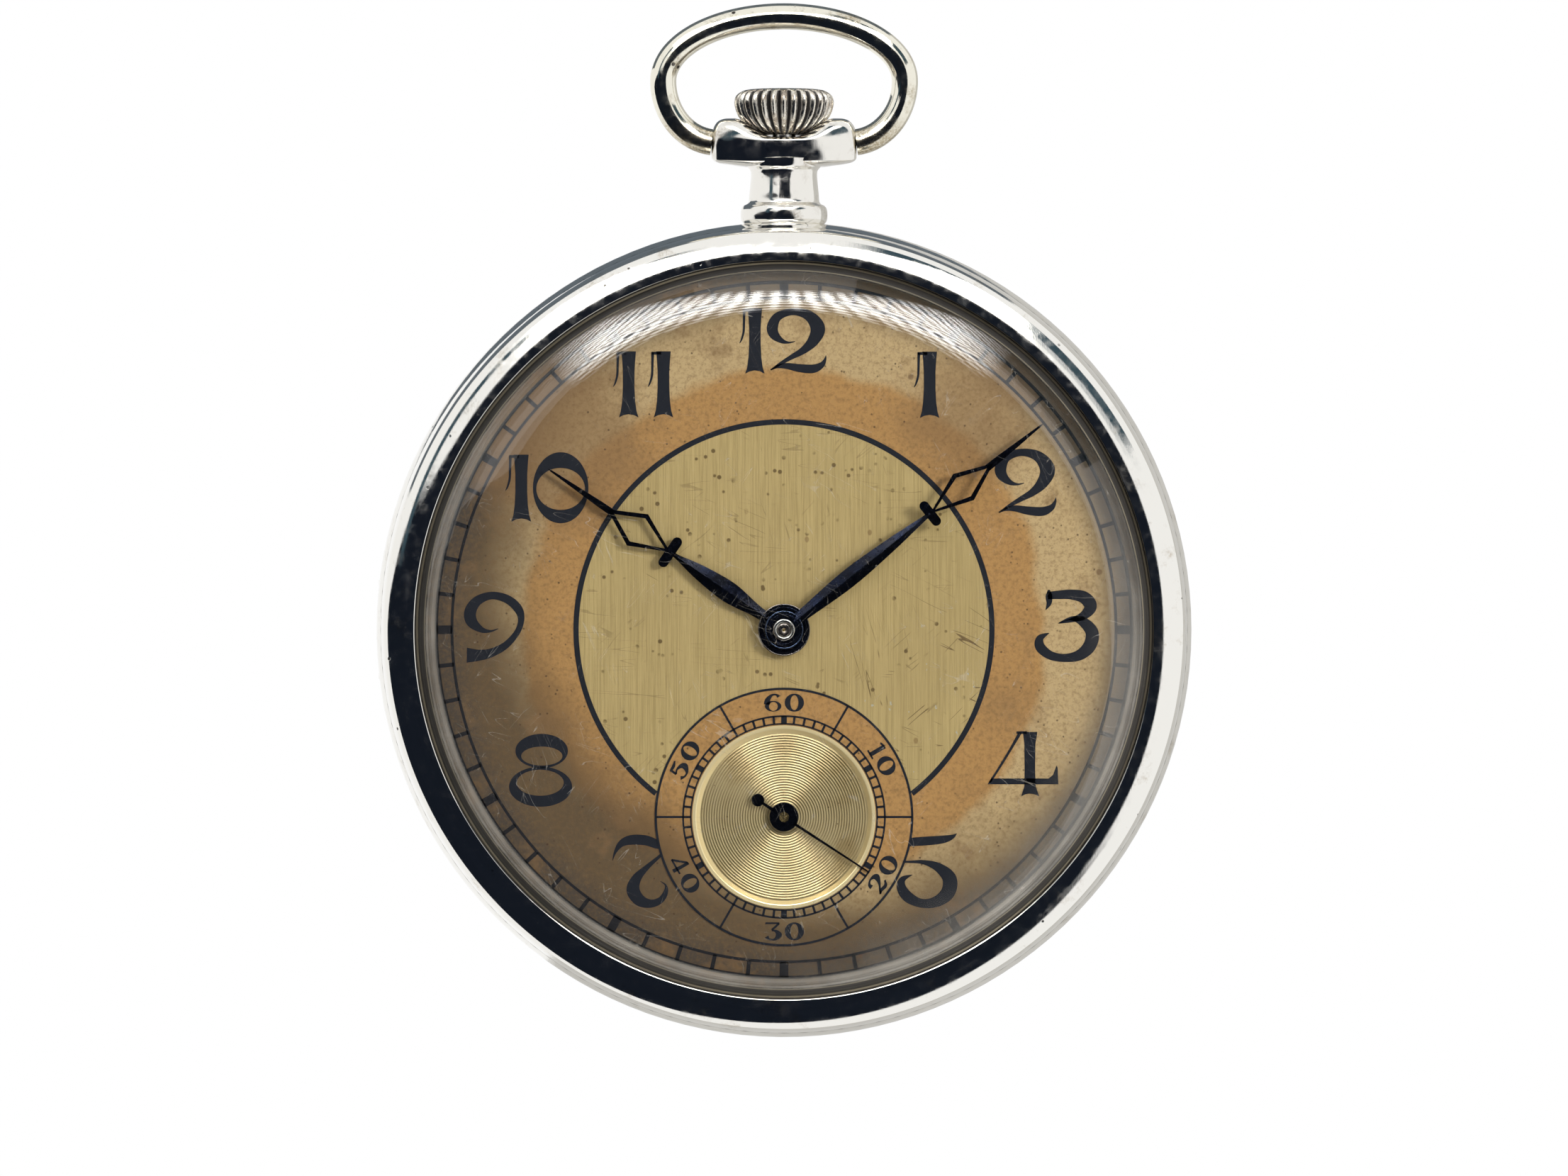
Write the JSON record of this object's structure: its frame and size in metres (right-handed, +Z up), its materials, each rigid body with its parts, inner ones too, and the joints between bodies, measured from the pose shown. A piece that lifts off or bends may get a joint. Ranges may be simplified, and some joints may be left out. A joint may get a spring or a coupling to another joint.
{
  "type": "open face pocket watch",
  "caption": "Round open face pocket watch with a sunk small-seconds dial, swinging bow, pull-out crown and a hinged back over a geared movement.",
  "frame": {"origin": "top of the inside of the bow, where a hook, ring or chain carries the watch", "axes": "+Z up, towards the bow and 12 o'clock; the dial faces -Y and the back cover faces +Y; +X is towards 3 o'clock"},
  "size_m": [0.049, 0.0102, 0.0622],
  "materials": {
    "case_metal": "polished nickel silver with fine wear",
    "bow_metal": "worn, slightly yellow nickel silver",
    "crown_metal": "worn silver, dark in the flutes",
    "crystal": "domed clear acrylic",
    "dial": "aged salmon dial, brushed inner disc, black printing",
    "hand_steel": "dark blued steel",
    "plate_metal": "nickel plated brass, striped",
    "steel": "polished steel",
    "blue_steel": "blued steel",
    "brass": "gilt brass",
    "ruby": "synthetic ruby"
  },
  "bodies": {
    "case": {"case_middle": "case_metal", "bezel": "case_metal", "crystal": "crystal", "pendant": "case_metal", "pendant_sleeve": "steel", "hinge_pin": "case_metal", "dial": "dial", "sub_dial": "dial", "dial_feet": "brass", "mainplate": "plate_metal", "barrel_bridge": "plate_metal", "train_bridge": "plate_metal", "balance_cock": "plate_metal", "pallet_bridge": "plate_metal", "crown_wheel_core": "steel", "crown_wheel_screw": "blue_steel", "click_screw": "blue_steel", "click_spring": "blue_steel", "hairspring": "blue_steel", "balance_end_cap": "steel", "jewels": "ruby", "bridge_screws": "blue_steel", "case_screws": "blue_steel"},
    "back_cover": {"back_cover": "case_metal"},
    "bow": {"bow": "bow_metal"},
    "winding_pinion": {"winding_pinion": "steel"},
    "crown": {"crown": "crown_metal", "stem": "steel"},
    "sliding_pinion": {"sliding_pinion": "steel"},
    "setting_lever": {"setting_lever": "steel"},
    "yoke": {"yoke": "steel"},
    "setting_wheel": {"setting_wheel": "steel"},
    "centre_wheel": {"centre_wheel": "brass", "cannon_pinion": "steel", "minute_hand": "hand_steel"},
    "hour_wheel": {"hour_wheel": "brass", "hour_hand": "hand_steel"},
    "minute_wheel": {"minute_wheel": "brass"},
    "third_wheel": {"third_wheel": "brass"},
    "fourth_wheel": {"fourth_wheel": "brass", "seconds_hand": "hand_steel"},
    "escape_wheel": {"escape_wheel": "brass"},
    "barrel": {"barrel": "brass", "barrel_cover": "brass", "mainspring": "steel"},
    "ratchet_wheel": {"ratchet_wheel": "steel", "barrel_arbor": "steel", "ratchet_screw": "blue_steel"},
    "crown_wheel": {"crown_wheel": "steel"},
    "click": {"click": "steel"},
    "pallet_fork": {"pallet_fork": "steel", "pallet_stones": "ruby"},
    "balance": {"balance_wheel": "brass", "balance_screws": "brass", "balance_staff": "steel", "hairspring_collet": "brass"},
    "regulator": {"regulator": "steel"}
  },
  "joints": [
    {"name": "bow_swing", "type": "hinge", "parent": "case", "child": "bow", "pos_m": [0, 0, -0.0068], "axis": [1, 0, 0], "range_deg": [-90, 90]},
    {"name": "back_cover_open", "type": "hinge", "parent": "case", "child": "back_cover", "pos_m": [-0.024, 0.00183, -0.0361], "axis": [0, 0, 1], "range_deg": [0, 90]},
    {"name": "crown_turn", "type": "hinge", "parent": "case", "child": "winding_pinion", "pos_m": [0, 0, -0.006], "axis": [0, 0, 1], "continuous": true},
    {"name": "crown_pull", "type": "slide", "parent": "winding_pinion", "child": "crown", "axis": [0, 0, 1], "range_m": [0, 0.0009]},
    {"name": "sliding_pinion_slide", "type": "slide", "parent": "winding_pinion", "child": "sliding_pinion", "axis": [0, 0, 1], "range_m": [-0.0007, 0]},
    {"name": "setting_lever_turn", "type": "hinge", "parent": "case", "child": "setting_lever", "pos_m": [-0.0034, 0, -0.0172], "axis": [0, 1, 0], "range_deg": [-16, 0]},
    {"name": "yoke_turn", "type": "hinge", "parent": "case", "child": "yoke", "pos_m": [-0.004, 0, -0.02005], "axis": [0, 1, 0], "range_deg": [0, 10]},
    {"name": "crown_wheel_turn", "type": "hinge", "parent": "case", "child": "crown_wheel", "pos_m": [0, 0, -0.02155], "axis": [0, 1, 0], "continuous": true},
    {"name": "ratchet_wheel_turn", "type": "hinge", "parent": "case", "child": "ratchet_wheel", "pos_m": [0.0042, 0, -0.02883], "axis": [0, 1, 0], "continuous": true},
    {"name": "click_turn", "type": "hinge", "parent": "case", "child": "click", "pos_m": [0.01095, 0, -0.03102], "axis": [0, 1, 0], "range_deg": [0, 8]},
    {"name": "minute_hand_turn", "type": "hinge", "parent": "case", "child": "centre_wheel", "pos_m": [0, 0, -0.0361], "axis": [0, 1, 0], "continuous": true},
    {"name": "hour_hand_turn", "type": "hinge", "parent": "case", "child": "hour_wheel", "pos_m": [0, 0, -0.0361], "axis": [0, 1, 0], "continuous": true},
    {"name": "minute_wheel_turn", "type": "hinge", "parent": "case", "child": "minute_wheel", "pos_m": [0, 0, -0.0313], "axis": [0, 1, 0], "continuous": true},
    {"name": "setting_wheel_turn", "type": "hinge", "parent": "case", "child": "setting_wheel", "pos_m": [0, 0, -0.0249], "axis": [0, 1, 0], "continuous": true},
    {"name": "third_wheel_turn", "type": "hinge", "parent": "case", "child": "third_wheel", "pos_m": [0.00382, 0, -0.0422], "axis": [0, 1, 0], "continuous": true},
    {"name": "seconds_hand_turn", "type": "hinge", "parent": "case", "child": "fourth_wheel", "pos_m": [0, 0, -0.0473], "axis": [0, 1, 0], "continuous": true},
    {"name": "escape_wheel_turn", "type": "hinge", "parent": "case", "child": "escape_wheel", "pos_m": [-0.00457, 0, -0.04466], "axis": [0, 1, 0], "continuous": true},
    {"name": "barrel_turn", "type": "hinge", "parent": "case", "child": "barrel", "pos_m": [0.0042, 0, -0.02883], "axis": [0, 1, 0], "continuous": true},
    {"name": "pallet_fork_turn", "type": "hinge", "parent": "case", "child": "pallet_fork", "pos_m": [-0.00676, 0, -0.04261], "axis": [0, 1, 0], "range_deg": [-5, 5]},
    {"name": "balance_turn", "type": "hinge", "parent": "case", "child": "balance", "pos_m": [-0.00997, 0, -0.03959], "axis": [0, 1, 0], "range_deg": [-135, 135]},
    {"name": "regulator_turn", "type": "hinge", "parent": "case", "child": "regulator", "pos_m": [-0.00997, 0, -0.03959], "axis": [0, 1, 0], "range_deg": [-15, 15]}
  ],
  "couplings": [
    {"joint": "hour_hand_turn", "follows": "minute_hand_turn", "ratio": 0.083333},
    {"joint": "minute_wheel_turn", "follows": "minute_hand_turn", "ratio": -0.33333},
    {"joint": "setting_wheel_turn", "follows": "minute_hand_turn", "ratio": 0.42857},
    {"joint": "third_wheel_turn", "follows": "minute_hand_turn", "ratio": -8},
    {"joint": "seconds_hand_turn", "follows": "minute_hand_turn", "ratio": 60},
    {"joint": "escape_wheel_turn", "follows": "minute_hand_turn", "ratio": -600},
    {"joint": "barrel_turn", "follows": "minute_hand_turn", "ratio": -0.16667},
    {"joint": "crown_wheel_turn", "follows": "crown_turn", "ratio": -0.5},
    {"joint": "ratchet_wheel_turn", "follows": "crown_turn", "ratio": 0.34},
    {"joint": "sliding_pinion_slide", "follows": "crown_pull", "ratio": -0.75},
    {"joint": "setting_lever_turn", "follows": "crown_pull", "rad_per_m": -294.12},
    {"joint": "yoke_turn", "follows": "crown_pull", "rad_per_m": 187.5}
  ]
}
